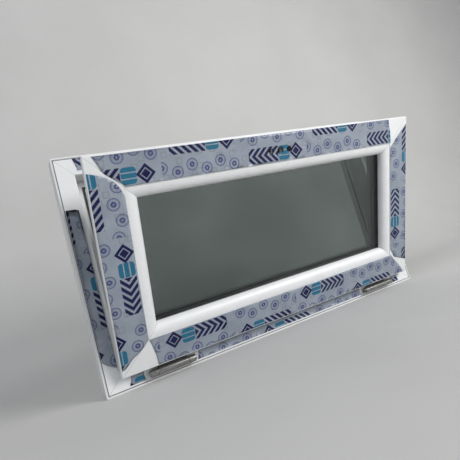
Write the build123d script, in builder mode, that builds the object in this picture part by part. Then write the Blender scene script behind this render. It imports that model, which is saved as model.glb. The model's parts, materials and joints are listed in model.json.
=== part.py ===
from build123d import *
from math import cos, pi, radians, sin, tan
import os

# A bottom-hung window in millimetres: a fixed outer frame and a double-glazed sash that tilts into the room.
# +X is to the right seen from the room, +Y points out through the wall, +Z is up.
# The origin is at the middle of the sill's underside, halfway through the frame's depth.

# Driving sizes of the window
frame_width = 800.0
frame_height = 450.0
frame_depth = 60.0
open_angle = 22.2  # the sash is modelled shut and then tilted by this angle, where its stays stop it

# Frame section
frame_face = 38.0  # width seen from the room
frame_edge_radius = 1.0
lip_radius = 1.5
upstand_height = 20.0  # how far the outer lip stands in from the face
upstand_depth = 14.0
wall = 2.5  # thickness of the plastic between the chambers
face_groove_inset = 2.5  # fine groove that runs round near the outer edge
face_groove_width = 1.5
face_groove_depth = 1.2
clip_groove_width = 6.0  # grooves in the outer edge that hold wall anchors
clip_groove_depth = 2.0
clip_groove_inset = 8.0
frame_steel_low = 16.5  # the frame's steel lies between these depths
frame_steel_high = 43.5

# Sash section
overlap = 8.0  # the sash laps over the frame's face by this much
air_gap = 12.0  # between the frame's inner edge and the body of the sash
sash_proud = 14.0  # the sash's face stands in front of the frame's face by this much
flange_thickness = 10.0
sash_depth = 57.0
sash_face = 57.3  # from the sash's edge to the bead
glazing_lip_height = 19.7
glazing_lip_depth = 11.0
hardware_rebate_width = 16.0
hardware_rebate_depth = 3.0
hardware_groove_width = 12.0
hardware_groove_depth = 12.0
hardware_centre = 9.0  # middle of the groove behind the frame's face
corner_radius = 2.0
edge_radius = 1.0
glazing_lip_wall = 1.5
hook_depth = 2.3  # the slot that the beads' feet snap into, and where it lies in depth
hook_low = -3.0
hook_high = 0.5

# Steel, seals and glass
steel_thickness = 1.5
steel_clearance = 0.3
steel_setback = 62.0  # the steels stop short of the corners by this much
seal_groove_width = 3.0
seal_radius = 1.2
seal_groove_depth = 2.5
seal_foot_clearance = 0.1
frame_seal_setback = 6.0  # from the lip's edge back to its groove
frame_seal_lap = 0.8  # the bulb is wider than its groove by this much on each side
sash_seal_lap = 0.6
glazing_seal_setback = 7.0
glazing_seal_lap = 2.0
inner_seal_width = 9.8
inner_seal_proud = 0.8  # how far the bead's seal shows past the bead
seal_clearance = 0.6  # left between a seal and what it meets, since the solids can't squash
pane_thickness = 4.0
cavity = 16.0
glass_inset = 4.7  # gap between the glass and the floor of its rebate
outer_seal_thickness = 2.0
inner_seal_thickness = 2.5
seal_inset = 6.0  # the spacer bar starts this far in from the glass edge
spacer_height = 7.0
spacer_wall = 0.8
bead_width = 21.8
bead_step = 1.0  # the bead starts this far below the sash's face
bead_wall = 1.6
bead_gap = 0.2
bead_shoulder = 3.5  # flat strip before the curve
bead_lip = 2.5  # straight edge next to the glass
glass_chamfer = 0.5
packer_length = 80.0
film_thickness = 0.15
film_margin = 2.5
frame_film_margin = 6.0
sill_film_from_edge = 45.0
film_to_hinge = 8.0
film_hole_clearance = 0.3  # round the handle's holes

# Hinges
hinge_length = 90.0
hinge_from_edge = 126.0  # from the frame's edge to the middle of a hinge
hinge_radius = 7.0
barrel_gap = 0.5  # between the barrel and the leaf on the frame
barrel_below_sash = 6.5  # between the barrel and the sash's lower edge
end_knuckle = 14.0
knuckle_gap = 0.4
knuckle_edge = 0.8  # rounding of a knuckle's ends
pin_radius = 3.0
running_clearance = 0.05
bush_wall = 1.2
leaf_thickness = 2.5
leaf_height = 12.0
leaf_back_thickness = 2.0
leaf_gap = 0.7  # between the two leaves
pin_head_length = 2.0
pin_head_lap = 2.0

# Screws
screw_radius = 1.9
screw_head_radius = 3.6
screw_head_depth = 1.6
screw_hole_clearance = 0.05
hinge_screw_offset = 20.0
hinge_screw_length = 14.0
leaf_screw_offset = 22.0
leaf_screw_length = 9.0
small_screw_length = 13.0
stay_screw_offset = 16.0

# Lock: a follower turned by the handle's spindle drives a toothed rod
backset = 15.0  # from the sash's edge to the handle's axis
handle_pitch = 43.0
spindle_square = 7.2
spindle_hole_radius = 6.0
handle_hole_radius = 5.0
handle_screw_radius = 2.6
tooth_module = 1.0
tooth_count = 16
tooth_backlash = 0.15
tooth_flank = 20.0  # degrees
rack_teeth = 6
gear_side_clearance = 0.2
follower_turn = 90.0
journal_radius = 6.2
case_length = 56.0
case_wall = 1.6
case_below_gear = 4.0
case_pocket_clearance = 0.5
rod_length = 430.0
rod_width = 8.0
rod_thickness = 2.5
rod_clearance = 0.2
faceplate_clearance = 0.1
faceplate_length = 500.0
faceplate_screw_offset = 60.0
faceplate_screw_inset = 10.0
faceplate_thickness = 2.5
cam_offset = 190.0
cam_radius = 3.0
cam_head_radius = 5.0
cam_head_thickness = 3.0
cam_to_frame = 3.5
cam_neck = 0.5  # the cam's foot in the rod is thinner by this much
cam_foot_clearance = 0.05
keep_length = 50.0
keep_thickness = 2.0
keep_lip_thickness = 2.4
keep_lead = 14.0  # from the keep's start to the middle of the cam before it slides
keep_screw_inset = 6.0
keep_lip_gap = 0.8  # between the cam's head and the lip
keep_lip_start = 2.0  # the lip starts this far past the cam's head
keep_lip_clearance = 4.7  # between the lip and the step of the sash

# Opening stays
stay_length = 80.0
stay_lead = 5.0  # degrees between the arm's base line and the track with the sash shut
stay_width = 12.0
stay_thickness = 2.5
stay_pin_clearance = 0.3
stay_plate_thickness = 2.0
stay_plate_length = 44.0
stay_washer = 1.5  # between the bracket and the arm
stay_pin_collar = 2.0
stay_pin_head = 1.2
stay_pin_head_lap = 1.5
stay_end_pin = 5.0  # the arm's end pin reaches this far past the face of the track
track_thickness = 2.5
track_length = 70.0

# Drainage outside
drain_offset = 240.0
drain_length = 26.0
drain_height = 5.0
drain_cap_margin = 5.0
drain_cap_thickness = 3.0
drain_cap_wall = 2.0
drain_cap_hollow = 1.5

# Sizes that follow
front = -frame_depth / 2
sash_edge = frame_face - overlap  # from the frame's edge to the sash's edge
sash_step = overlap + air_gap  # from the sash's edge to its body
sash_width = frame_width - 2 * sash_edge
sash_height = frame_height - 2 * sash_edge
sash_back = sash_depth - sash_proud
flange_back = flange_thickness - sash_proud
upstand_face = frame_depth - upstand_depth
lip_face = sash_back - glazing_lip_depth
outer_pane_back = lip_face - outer_seal_thickness
outer_pane_front = outer_pane_back - pane_thickness
inner_pane_back = outer_pane_front - cavity
inner_pane_front = inner_pane_back - pane_thickness
bead_back = inner_pane_front - inner_seal_thickness
glass_edge = sash_face + glass_inset
daylight = sash_face + bead_width
rebate_low = hardware_centre - hardware_rebate_width / 2
rebate_high = hardware_centre + hardware_rebate_width / 2
groove_low = hardware_centre - hardware_groove_width / 2
groove_high = hardware_centre + hardware_groove_width / 2
rebate_floor = sash_step + hardware_rebate_depth
groove_floor = rebate_floor + hardware_groove_depth - hardware_rebate_depth
handle_axis = sash_step + backset
chamber_end = sash_face - 2 * wall
steel_low = rebate_high + wall
steel_high = sash_back - wall
hinge_stand_off = hinge_radius + leaf_thickness + barrel_gap
hinge_y = front - hinge_stand_off
hinge_z = sash_edge - barrel_below_sash - hinge_radius
hinge_x = frame_width / 2 - hinge_from_edge
sash_middle_x_to_step = sash_width / 2 - sash_step
frame_inside_x = frame_width / 2 - frame_face

SIDES = {"bottom": "frame_sill", "top": "frame_head", "left": "frame_jamb_left", "right": "frame_jamb_right"}
SASH_NAMES = {
    "bottom": "sash_bottom_rail",
    "top": "sash_top_rail",
    "left": "sash_stile_left",
    "right": "sash_stile_right",
}
# Turning about the hinge line by this much takes the sash from shut to its rest position.
swing = Pos(0, hinge_y, hinge_z) * Rot(open_angle, 0, 0) * Pos(0, -hinge_y, -hinge_z)
os.makedirs("parts", exist_ok=True)


def save(part, label):
    """Write one piece of the frame, which stays where it is modelled."""
    part.label = label
    export_step(part, f"parts/{label}.step")


def save_open(part, label):
    """Write one piece of the sash, swung from shut to open about the hinge line."""
    save(part.moved(swing), label)


def side_plane(side, inset=0.0):
    """Plane across one side of the window: its X runs in from that side's edge and its Y runs outdoors."""
    if side == "bottom":
        return Plane((0, front, inset), x_dir=(0, 0, 1), z_dir=(-1, 0, 0))
    if side == "top":
        return Plane((0, front, frame_height - inset), x_dir=(0, 0, -1), z_dir=(1, 0, 0))
    if side == "left":
        return Plane((inset - frame_width / 2, front, frame_height / 2), x_dir=(1, 0, 0), z_dir=(0, 0, 1))
    return Plane((frame_width / 2 - inset, front, frame_height / 2), x_dir=(-1, 0, 0), z_dir=(0, 0, -1))


def span(x0, x1, y0, y1, mode=Mode.ADD):
    """A rectangle in the current sketch from its corners."""
    with Locations(((x0 + x1) / 2, (y0 + y1) / 2)):
        Rectangle(x1 - x0, y1 - y0, mode=mode)


def block(x0, x1, y0, y1, z0, z1, mode=Mode.ADD):
    """A box in the current part from its corners."""
    with Locations(((x0 + x1) / 2, (y0 + y1) / 2, (z0 + z1) / 2)):
        Box(x1 - x0, y1 - y0, z1 - z0, mode=mode)


def round_corner(x, y, radius):
    """Round the corner of the current sketch that is nearest to a point."""
    corners = BuildSketch._get_context().vertices()
    nearest = corners.sort_by(lambda corner: (corner.X - x) ** 2 + (corner.Y - y) ** 2)[0]
    fillet(nearest, radius)


def mitred_bar(section, side, inset=0.0):
    """A bar of one section along one side of the window, cut at 45 degrees at both corners."""
    width = frame_width - 2 * inset
    height = frame_height - 2 * inset
    reach = height / 2 - 1
    left, right, low, high = -width / 2, width / 2, inset, inset + height
    outline = {
        "bottom": [(left, low), (right, low), (right - reach, low + reach), (left + reach, low + reach)],
        "top": [(left, high), (right, high), (right - reach, high - reach), (left + reach, high - reach)],
        "left": [(left, low), (left, high), (left + reach, high - reach), (left + reach, low + reach)],
        "right": [(right, low), (right, high), (right - reach, high - reach), (right - reach, low + reach)],
    }[side]
    with BuildPart() as bar:
        with BuildSketch(side_plane(side, inset)):
            section()
        extrude(amount=max(width, height), both=True)
        with BuildSketch(Plane.XZ):
            Polygon(*outline, align=None)
        extrude(amount=2 * frame_depth, both=True, mode=Mode.INTERSECT)
    return bar


def mitred_ring(section, inset=0.0):
    """The same section carried right round the window."""
    with BuildPart() as ring:
        for side in SIDES:
            add(mitred_bar(section, side, inset).part)
    return ring


def channel(side, inset, length, x0, x1, y0, y1):
    """A steel U channel along one side."""
    with BuildPart() as steel:
        with BuildSketch(side_plane(side, inset)):
            span(x0, x1, y0, y1)
            span(x0 + steel_thickness, x1, y0 + steel_thickness, y1 - steel_thickness, Mode.SUBTRACT)
        extrude(amount=length / 2, both=True)
    return steel


def flat_ring(inset_outer, inset_inner, depth_front, depth_back):
    """A rectangular ring round the sash between two insets and two depths."""
    with BuildPart() as ring:
        with BuildSketch(Plane.XZ.offset(-(front + depth_back))):
            with Locations((0, frame_height / 2)):
                Rectangle(sash_width - 2 * inset_outer, sash_height - 2 * inset_outer)
                Rectangle(sash_width - 2 * inset_inner, sash_height - 2 * inset_inner, mode=Mode.SUBTRACT)
        extrude(amount=depth_back - depth_front)
    return ring


def screw(plane, length):
    """A countersunk screw in the current part: its head's top lies on the plane and its shank runs down."""
    with BuildSketch(plane) as head:
        Circle(screw_head_radius)
    with BuildSketch(plane.offset(-screw_head_depth)) as shank:
        Circle(screw_radius)
    loft([head.sketch.face(), shank.sketch.face()])
    extrude(shank.sketch, amount=screw_head_depth - length)


def screw_hole(plane, length):
    """The hole for that screw, cut from the current part."""
    with BuildSketch(plane) as head:
        Circle(screw_head_radius + screw_hole_clearance)
    with BuildSketch(plane.offset(-screw_head_depth)) as shank:
        Circle(screw_radius + screw_hole_clearance)
    loft([head.sketch.face(), shank.sketch.face()], mode=Mode.SUBTRACT)
    extrude(shank.sketch, amount=screw_head_depth - length - screw_hole_clearance, mode=Mode.SUBTRACT)


# ---- Sections -------------------------------------------------------------------------------------------

frame_seal_inset = frame_face + upstand_height - frame_seal_setback
glass_seal_inset = sash_face + glazing_lip_height - glazing_seal_setback
sash_seal_inset = film_margin + 0.5


def frame_section():
    """Frame profile: a box with a lip outdoors that the sash shuts against."""
    span(0, frame_face, 0, frame_depth)
    span(frame_face, frame_face + upstand_height, upstand_face, frame_depth)
    round_corner(0, 0, frame_edge_radius)
    round_corner(frame_face, 0, corner_radius)
    round_corner(frame_face + upstand_height, upstand_face, lip_radius)
    round_corner(frame_face + upstand_height, frame_depth, lip_radius)
    span(face_groove_inset, face_groove_inset + face_groove_width, 0, face_groove_depth, Mode.SUBTRACT)
    for low in (clip_groove_inset, frame_depth - clip_groove_inset - clip_groove_width):
        span(0, clip_groove_depth, low, low + clip_groove_width, Mode.SUBTRACT)
    chamber_start = clip_groove_depth + wall
    span(chamber_start, frame_face - wall, face_groove_depth + wall, frame_steel_low - wall, Mode.SUBTRACT)
    span(chamber_start, frame_face - wall, frame_steel_low, frame_steel_high, Mode.SUBTRACT)
    span(chamber_start, frame_face - wall, frame_steel_high + wall, frame_depth - wall, Mode.SUBTRACT)
    lip_chamber = upstand_face + seal_groove_depth + wall
    span(frame_face, frame_face + upstand_height - wall, lip_chamber, frame_depth - wall, Mode.SUBTRACT)
    groove_end = frame_seal_inset + seal_groove_width
    span(frame_seal_inset, groove_end, upstand_face, upstand_face + seal_groove_depth, Mode.SUBTRACT)


def sash_section():
    """Sash profile: overlap flange, hardware groove, steel chamber and outer glazing lip."""
    span(0, sash_face, -sash_proud, flange_back)
    span(sash_step, sash_face, -sash_proud, sash_back)
    lip_end = sash_face + glazing_lip_height
    span(sash_face, lip_end, lip_face, sash_back)
    round_corner(0, -sash_proud, corner_radius)
    round_corner(0, flange_back, edge_radius)
    round_corner(sash_step, sash_back, edge_radius)
    round_corner(lip_end, sash_back, corner_radius)
    round_corner(lip_end, lip_face, edge_radius)
    span(sash_step, rebate_floor, rebate_low, rebate_high, Mode.SUBTRACT)
    span(rebate_floor, groove_floor, groove_low, groove_high, Mode.SUBTRACT)
    seal_bottom = flange_back - seal_groove_depth
    seal_end = sash_seal_inset + seal_groove_width
    span(sash_seal_inset, seal_end, seal_bottom, flange_back, Mode.SUBTRACT)
    face_chamber = wall - sash_proud
    span(seal_end + wall, sash_step - wall / 2, face_chamber, flange_back - wall, Mode.SUBTRACT)
    span(sash_step + wall, chamber_end, face_chamber, rebate_low - wall, Mode.SUBTRACT)
    span(groove_floor + wall, chamber_end, rebate_low, rebate_high, Mode.SUBTRACT)
    span(sash_step + wall, chamber_end, steel_low, steel_high, Mode.SUBTRACT)
    lip_chamber = lip_face + seal_groove_depth + glazing_lip_wall
    span(chamber_end + wall, lip_end - wall, lip_chamber, steel_high, Mode.SUBTRACT)
    glass_seal_end = glass_seal_inset + seal_groove_width
    span(glass_seal_inset, glass_seal_end, lip_face, lip_face + seal_groove_depth, Mode.SUBTRACT)
    span(sash_face - hook_depth, sash_face, hook_low, hook_high, Mode.SUBTRACT)


def frame_seal_section():
    """Seal in the frame's lip with a foot in its groove and a rounded bulb towards the sash."""
    foot = seal_foot_clearance
    start = frame_seal_inset
    end = frame_seal_inset + seal_groove_width
    bulb = sash_back + seal_clearance
    span(start + foot, end - foot, upstand_face, upstand_face + seal_groove_depth - foot)
    span(start - frame_seal_lap, end + frame_seal_lap, bulb, upstand_face)
    round_corner(start - frame_seal_lap, bulb, seal_radius)
    round_corner(end + frame_seal_lap, bulb, seal_radius)


def sash_seal_section():
    """Seal on the back of the overlap, towards the frame's face."""
    foot = seal_foot_clearance
    start = sash_seal_inset
    end = start + seal_groove_width
    span(start + foot, end - foot, flange_back - seal_groove_depth + foot, flange_back)
    span(start - sash_seal_lap, end + sash_seal_lap, flange_back, -seal_clearance)
    round_corner(start - sash_seal_lap, -seal_clearance, seal_radius)
    round_corner(end + sash_seal_lap, -seal_clearance, seal_radius)


def outer_glazing_seal_section():
    """Seal between the outer pane and the sash's lip."""
    foot = seal_foot_clearance
    start = glass_seal_inset
    span(start + foot, start + seal_groove_width - foot, lip_face, lip_face + seal_groove_depth - foot)
    span(start - glazing_seal_lap, sash_face + glazing_lip_height - edge_radius / 2, outer_pane_back, lip_face)


def inner_glazing_seal_section():
    """Seal between the bead and the inner pane, just proud of the bead's edge."""
    end = daylight + inner_seal_proud
    span(end - inner_seal_width, end, bead_back, inner_pane_front)
    round_corner(end, bead_back, inner_seal_proud / 2)


def bead_section():
    """Hollow glazing bead: a quarter of an ellipse towards the room, and a foot that snaps into the sash."""
    start = sash_face + bead_gap
    shoulder = start + bead_shoulder
    top = bead_step - sash_proud
    turn = bead_back - bead_lip
    with BuildLine() as outside:
        Line((start, top), (shoulder, top))
        EllipticalCenterArc((shoulder, turn), daylight - shoulder, turn - top, 270, arc_size=90)
        Line((daylight, turn), (daylight, bead_back))
        Line((daylight, bead_back), (start, bead_back))
        Line((start, bead_back), (start, top))
    make_face(outside.edges())
    round_corner(start, top, bead_wall / 2)
    span(sash_face - hook_depth + bead_gap, start, hook_low + bead_gap, hook_high - bead_gap)
    inside = shoulder + bead_wall / 3
    with BuildLine() as hollow:
        Line((start + bead_wall, top + bead_wall), (inside, top + bead_wall))
        EllipticalCenterArc((inside, turn), daylight - bead_wall - inside, turn - top - bead_wall, 270, arc_size=90)
        Line((daylight - bead_wall, turn), (daylight - bead_wall, bead_back - bead_wall))
        Line((daylight - bead_wall, bead_back - bead_wall), (start + bead_wall, bead_back - bead_wall))
        Line((start + bead_wall, bead_back - bead_wall), (start + bead_wall, top + bead_wall))
    make_face(hollow.edges(), mode=Mode.SUBTRACT)


# ---- Where screws and holes go --------------------------------------------------------------------------

hinge_centres = (-hinge_x, hinge_x)
leaf_low = hinge_z - hinge_radius + 0.5
link_low = hinge_z + hinge_radius - leaf_thickness
leaf_high = link_low - leaf_gap
hinge_screw_planes = []
leaf_screw_planes = []
for hinge in hinge_centres:
    for offset_x in (-hinge_screw_offset, hinge_screw_offset):
        point = (hinge + offset_x, front - leaf_thickness, (leaf_low + leaf_high) / 2)
        hinge_screw_planes.append(Plane(point, x_dir=(1, 0, 0), z_dir=(0, -1, 0)))
    for offset_x in (-leaf_screw_offset, 0, leaf_screw_offset):
        point = (hinge + offset_x, front + flange_back + leaf_back_thickness, sash_edge + leaf_height - 1)
        leaf_screw_planes.append(Plane(point, x_dir=(1, 0, 0), z_dir=(0, 1, 0)))

# The stay's arm is as long as the distance from the hinge line to its pivot, so the arm turns exactly
# twice as far as the sash while its pin slides along a straight track that points at the hinge line.
track_reach = 2 * stay_length * (cos(radians(stay_lead)) + cos(radians(stay_lead + open_angle))) / 2
track_lean = (hardware_centre + hinge_stand_off) / track_reach
track_angle = track_lean * 180 / pi
pivot_angle = track_angle + stay_lead
pivot_y = hinge_y + stay_length * sin(radians(pivot_angle))
pivot_z = hinge_z + stay_length * cos(radians(pivot_angle))
shut_reach = 2 * stay_length * cos(radians(stay_lead))
open_reach = 2 * stay_length * cos(radians(stay_lead + open_angle))
pin_y = hinge_y + open_reach * sin(radians(track_angle - open_angle))
pin_z = hinge_z + open_reach * cos(radians(track_angle - open_angle))
stay_screw_planes = []
for sign in (-1, 1):
    for offset_z in (-stay_screw_offset, stay_screw_offset):
        point = (sign * (frame_inside_x - stay_plate_thickness), pivot_y, pivot_z + offset_z)
        stay_screw_planes.append(Plane(point, x_dir=(0, 1, 0), z_dir=(-sign, 0, 0)))

# The keeps sit past the cams, which slide behind their lips when the handle is turned.
rod_travel = radians(follower_turn) * tooth_module * tooth_count / 2
keep_z = frame_height - frame_face
keep_screw_planes = []
for sign in (-1, 1):
    for offset_x in (keep_screw_inset, keep_length - keep_screw_inset):
        point = (sign * cam_offset - keep_lead + offset_x, front + hardware_centre, keep_z - keep_thickness)
        keep_screw_planes.append(Plane(point, x_dir=(1, 0, 0), z_dir=(0, 0, -1)))

sash_top = frame_height - sash_edge
sash_screw_planes = []
end_screw = faceplate_length / 2 - faceplate_screw_inset
for offset_x in (-end_screw, -faceplate_screw_offset, faceplate_screw_offset, end_screw):
    point = (offset_x, front + hardware_centre, sash_top - rebate_floor + faceplate_thickness)
    sash_screw_planes.append(Plane(point, x_dir=(1, 0, 0), z_dir=(0, 0, 1)))

# ---- Frame ----------------------------------------------------------------------------------------------

for side, label in SIDES.items():
    frame_bar = mitred_bar(frame_section, side)
    with BuildPart() as member:
        add(frame_bar.part)
        if side == "bottom":
            for plane in hinge_screw_planes:
                screw_hole(plane, hinge_screw_length)
            for centre in (-drain_offset, drain_offset):
                inner_z = frame_face - wall
                slot_back = front + upstand_face - 1
                block(centre - drain_length / 2, centre + drain_length / 2, slot_back - drain_height, slot_back,
                      inner_z - 1, frame_face + 1, Mode.SUBTRACT)
                block(centre - drain_length / 2, centre + drain_length / 2, front + frame_depth - wall - 1,
                      front + frame_depth + 1, frame_face / 2, frame_face / 2 + drain_height, Mode.SUBTRACT)
        if side == "top":
            for plane in keep_screw_planes:
                screw_hole(plane, small_screw_length)
        if side in ("left", "right"):
            for plane in stay_screw_planes:
                screw_hole(plane, small_screw_length)
    save(member.part, label)

steel_start = clip_groove_depth + wall + steel_clearance
steel_end = frame_face - wall - steel_clearance
for label, pair, total in (("frame_steels_long", ("top", "bottom"), frame_width),
                           ("frame_steels_short", ("left", "right"), frame_height)):
    with BuildPart() as steels:
        for side in pair:
            bar = channel(side, 0, total - 2 * steel_setback, steel_start, steel_end,
                          frame_steel_low + steel_clearance, frame_steel_high - steel_clearance)
            add(bar.part)
        for plane in hinge_screw_planes + keep_screw_planes + stay_screw_planes:
            screw_hole(plane, hinge_screw_length + 2)
    save(steels.part, label)

save(mitred_ring(frame_seal_section).part, "frame_gasket")

with BuildPart() as drain_caps:
    for centre in (-drain_offset, drain_offset):
        half = drain_length / 2 + drain_cap_margin
        top = frame_face / 2 + drain_height + drain_cap_margin
        block(centre - half, centre + half, front + frame_depth, front + frame_depth + drain_cap_thickness,
              frame_face / 2 - drain_cap_margin, top)
        inside = half - drain_cap_wall
        block(centre - inside, centre + inside, front + frame_depth, front + frame_depth + drain_cap_hollow,
              frame_face / 2 - drain_cap_margin - 1, top - drain_cap_wall, Mode.SUBTRACT)
save(drain_caps.part, "drain_caps")

# ---- Hinges ---------------------------------------------------------------------------------------------


def along_x(x, radius, length, mode=Mode.ADD):
    """A cylinder on the hinge line, centred on x."""
    with BuildSketch(Plane((x - length / 2, hinge_y, hinge_z), x_dir=(0, 1, 0), z_dir=(1, 0, 0))) as disc:
        Circle(radius)
    extrude(disc.sketch, amount=length, mode=mode)


def knuckle(x, length):
    """A round-edged piece of the hinge's barrel, centred on x."""
    with BuildPart() as barrel:
        along_x(x, hinge_radius, length)
        fillet(barrel.edges().filter_by(GeomType.CIRCLE), knuckle_edge)
    return barrel.part


middle_knuckle = hinge_length - 2 * end_knuckle - 2 * knuckle_gap
for hinge, name in zip(hinge_centres, ("left", "right")):
    with BuildPart() as frame_leaf:
        block(hinge - hinge_length / 2, hinge + hinge_length / 2, front - leaf_thickness, front, leaf_low, leaf_high)
        for sign in (-1, 1):
            knuckle_x = hinge + sign * (hinge_length - end_knuckle) / 2
            add(knuckle(knuckle_x, end_knuckle))
            half = end_knuckle / 2 - knuckle_edge
            block(knuckle_x - half, knuckle_x + half, hinge_y, front - leaf_thickness, leaf_low + 1.5, leaf_high)
        along_x(hinge, pin_radius + running_clearance, hinge_length + 2, Mode.SUBTRACT)
        for plane in hinge_screw_planes:
            screw_hole(plane, hinge_screw_length)
    save(frame_leaf.part, f"hinge_frame_leaf_{name}")

    with BuildPart() as sash_leaf:
        half = middle_knuckle / 2 - knuckle_edge
        back = front + flange_back
        back_face = back + leaf_back_thickness
        add(knuckle(hinge, middle_knuckle))
        block(hinge - half, hinge + half, hinge_y, back_face, link_low, link_low + leaf_thickness)
        block(hinge - half, hinge + half, back, back_face, link_low, sash_edge + 1.5 * leaf_height)
        along_x(hinge, pin_radius + running_clearance + bush_wall, middle_knuckle + 2, Mode.SUBTRACT)
        for plane in leaf_screw_planes:
            screw_hole(plane, leaf_screw_length)
    save_open(sash_leaf.part, f"hinge_sash_leaf_{name}")

with BuildPart() as hinge_bushes:
    for hinge in hinge_centres:
        along_x(hinge, pin_radius + running_clearance + bush_wall, middle_knuckle)
        along_x(hinge, pin_radius + running_clearance, middle_knuckle, Mode.SUBTRACT)
save_open(hinge_bushes.part, "hinge_bushes")

with BuildPart() as hinge_pins:
    for hinge in hinge_centres:
        along_x(hinge, pin_radius, hinge_length)
        for sign in (-1, 1):
            along_x(hinge + sign * (hinge_length + pin_head_length) / 2, pin_radius + pin_head_lap, pin_head_length)
    outer_rims = hinge_pins.edges().filter_by(GeomType.CIRCLE).filter_by(
        lambda rim: abs(abs(abs(rim.arc_center.X) - hinge_x) - hinge_length / 2 - pin_head_length) < 0.01)
    fillet(outer_rims, pin_head_length * 0.7)
save(hinge_pins.part, "hinge_pins")

for label, planes, length in (("hinge_frame_screws", hinge_screw_planes, hinge_screw_length),
                              ("keep_screws", keep_screw_planes, small_screw_length),
                              ("stay_bracket_screws", stay_screw_planes, small_screw_length)):
    with BuildPart() as screws:
        for plane in planes:
            screw(plane, length)
    save(screws.part, label)

with BuildPart() as hinge_sash_screws:
    for plane in leaf_screw_planes:
        screw(plane, leaf_screw_length)
save_open(hinge_sash_screws.part, "hinge_sash_screws")

# ---- Sash profiles --------------------------------------------------------------------------------------

face_plane = Plane((0, front - sash_proud, sash_top - handle_axis), x_dir=(1, 0, 0), z_dir=(0, -1, 0))
case_depth = groove_floor + backset


def handle_hole_cuts(clearance, depth):
    """Cut the handle's three holes, from just in front of the sash's face to a depth behind it."""
    with BuildSketch(face_plane.offset(1)) as holes:
        Circle(spindle_hole_radius + clearance)
        with Locations((-handle_pitch / 2, 0), (handle_pitch / 2, 0)):
            Circle(handle_hole_radius + clearance)
    extrude(holes.sketch, amount=-depth - 1, mode=Mode.SUBTRACT)


for side, label in SASH_NAMES.items():
    sash_bar = mitred_bar(sash_section, side, sash_edge)
    with BuildPart() as member:
        add(sash_bar.part)
        if side == "top":
            # pocket for the gearbox, the spindle's hole and the two handle screw holes
            half = case_length / 2 + case_pocket_clearance
            block(-half, half, front + groove_low, front + groove_high,
                  sash_top - case_depth, sash_top - rebate_floor, Mode.SUBTRACT)
            handle_hole_cuts(0, sash_proud + groove_low + case_pocket_clearance)
            for plane in sash_screw_planes:
                screw_hole(plane, small_screw_length)
        if side == "bottom":
            for plane in leaf_screw_planes:
                screw_hole(plane, leaf_screw_length)
    save_open(member.part, label)

sash_steel_start = sash_step + wall + steel_clearance
for label, pair, total in (("sash_steels_long", ("top", "bottom"), sash_width),
                           ("sash_steels_short", ("left", "right"), sash_height)):
    with BuildPart() as steels:
        for side in pair:
            bar = channel(side, sash_edge, total - 2 * steel_setback, sash_steel_start,
                          chamber_end - steel_clearance, steel_low + steel_clearance, steel_high - steel_clearance)
            add(bar.part)
    save_open(steels.part, label)

with BuildPart() as sash_gasket:
    add(mitred_ring(sash_seal_section, sash_edge).part)
    # the seal is trimmed where the hinge leaves cross it
    for hinge in hinge_centres:
        half = middle_knuckle / 2 + 1
        block(hinge - half, hinge + half, front + flange_back - seal_groove_depth - 1, front, 0,
              sash_edge + 3 * leaf_height, Mode.SUBTRACT)
save_open(sash_gasket.part, "sash_gasket")

# ---- Glazing --------------------------------------------------------------------------------------------

save_open(mitred_ring(outer_glazing_seal_section, sash_edge).part, "glazing_gasket_outer")
save_open(mitred_ring(inner_glazing_seal_section, sash_edge).part, "glazing_gasket_inner")
for side in SIDES:
    save_open(mitred_bar(bead_section, side, sash_edge).part, f"bead_{side}")

glass_width = sash_width - 2 * glass_edge
glass_height = sash_height - 2 * glass_edge
for label, back in (("glass_inner", inner_pane_back), ("glass_outer", outer_pane_back)):
    with BuildPart() as pane:
        with Locations((0, front + back - pane_thickness / 2, frame_height / 2)):
            Box(glass_width, pane_thickness, glass_height)
        chamfer(pane.edges().filter_by(Axis.Y), glass_chamfer)
    save_open(pane.part, label)

spacer_edge = glass_edge + seal_inset
with BuildPart() as spacer_bar:
    add(flat_ring(spacer_edge, spacer_edge + spacer_height, inner_pane_back, outer_pane_front).part)
    add(flat_ring(spacer_edge + spacer_wall, spacer_edge + spacer_height - spacer_wall,
                  inner_pane_back + spacer_wall, outer_pane_front - spacer_wall).part, mode=Mode.SUBTRACT)
save_open(spacer_bar.part, "spacer_bar")
save_open(flat_ring(glass_edge + glass_chamfer, spacer_edge, inner_pane_back, outer_pane_front).part, "edge_seal")

with BuildPart() as glazing_packers:
    # two blocks on each side, at the quarter points of the glass
    for sign in (-1, 1):
        for other in (-1, 1):
            with Locations((sign * glass_width / 4, front + (inner_pane_front + outer_pane_back) / 2,
                            frame_height / 2 + other * (glass_height + glass_inset) / 2)):
                Box(packer_length, outer_pane_back - inner_pane_front, glass_inset)
            with Locations((sign * (glass_width + glass_inset) / 2,
                            front + (inner_pane_front + outer_pane_back) / 2,
                            frame_height / 2 + other * glass_height / 4)):
                Box(glass_inset, outer_pane_back - inner_pane_front, packer_length)
save_open(glazing_packers.part, "glazing_packers")

# ---- Protective film ------------------------------------------------------------------------------------


def film(outline, face_y):
    """A piece of film on a face that looks into the room, from its outline in X and Z."""
    with BuildPart() as sheet:
        with BuildSketch(Plane.XZ.offset(-face_y)):
            Polygon(*outline, align=None)
        extrude(amount=film_thickness)
    return sheet


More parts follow.
